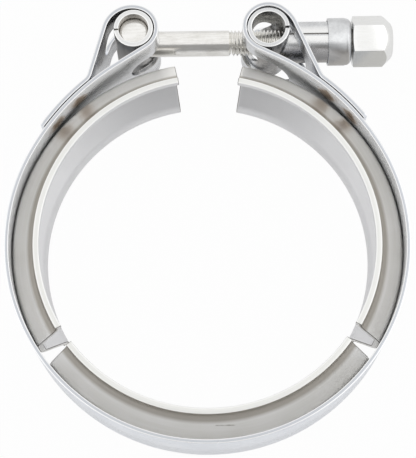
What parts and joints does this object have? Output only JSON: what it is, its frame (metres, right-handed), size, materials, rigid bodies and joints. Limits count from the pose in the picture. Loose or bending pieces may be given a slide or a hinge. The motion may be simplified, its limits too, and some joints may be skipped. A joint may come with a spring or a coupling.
{
  "type": "v band clamp",
  "caption": "V band clamp with a T-bolt closure: a looped steel strap around V-section retainers, which pulls two flanged tubes together.",
  "frame": {"origin": "centre of the ring on the plane of the strap's lower edges", "axes": "+Z along the ring's axis; +Y towards the two trunnions; +X from the left trunnion towards the nut, along the T-bolt"},
  "size_m": [0.0952, 0.1072, 0.022],
  "materials": {
    "strap_steel": "cold rolled stainless strip with a fine grain along its length, brown heat marks at the spot welds",
    "retainer_steel": "satin roll-formed stainless sheet with faint forming lines and heat tint by the spot welds",
    "trunnion_steel": "dull rolled stainless sheet with tooling marks",
    "bolt_steel": "bright turned stainless steel",
    "nut_steel": "bright drawn hexagon bar with a turned free end"
  },
  "bodies": {
    "clamp_base": {"band": "strap_steel", "retainer_bottom": "retainer_steel"},
    "left_arm": {"retainer_left": "retainer_steel"},
    "right_arm": {"retainer_right": "retainer_steel"},
    "bolt": {"t_bolt": "bolt_steel", "trunnion_sleeve": "trunnion_steel"},
    "washer": {"cup_washer": "trunnion_steel"},
    "nut_body": {"nut": "nut_steel"},
    "right_trunnion": {"tube_trunnion": "trunnion_steel"}
  },
  "joints": [
    {"name": "left_arm_close", "type": "hinge", "parent": "clamp_base", "child": "left_arm", "pos_m": [-0.03929, -0.02606, 0.011], "axis": [0, 0, -1], "range_deg": [0, 3.5], "deforming": ["band"]},
    {"name": "right_arm_close", "type": "hinge", "parent": "clamp_base", "child": "right_arm", "pos_m": [0.03934, -0.02599, 0.011], "axis": [0, 0, 1], "range_deg": [0, 3.29], "deforming": ["band"]},
    {"name": "bolt_swivel", "type": "hinge", "parent": "left_arm", "child": "bolt", "pos_m": [-0.0173, 0.05325, 0.011], "axis": [0, 0, 1], "range_deg": [0, 3.5]},
    {"name": "washer_travel", "type": "slide", "parent": "bolt", "child": "washer", "axis": [-1, 0, 0], "range_m": [0, 0.0093]},
    {"name": "nut_turn", "type": "hinge", "parent": "washer", "child": "nut_body", "pos_m": [0.0366, 0.05325, 0.011], "axis": [-1, 0, 0], "range_deg": [0, 3691.7]},
    {"name": "trunnion_swivel", "type": "hinge", "parent": "right_arm", "child": "right_trunnion", "pos_m": [0.0156, 0.05325, 0.011], "axis": [0, 0, -1], "range_deg": [0, 3.29]}
  ],
  "couplings": [
    {"joint": "left_arm_close", "follows": "nut_turn", "ratio": 0.00094807},
    {"joint": "bolt_swivel", "follows": "nut_turn", "ratio": 0.00094807},
    {"joint": "right_arm_close", "follows": "nut_turn", "ratio": 0.00088989},
    {"joint": "trunnion_swivel", "follows": "nut_turn", "ratio": 0.00088989},
    {"joint": "washer_travel", "follows": "nut_turn", "m_per_rad": 0.00014438}
  ]
}
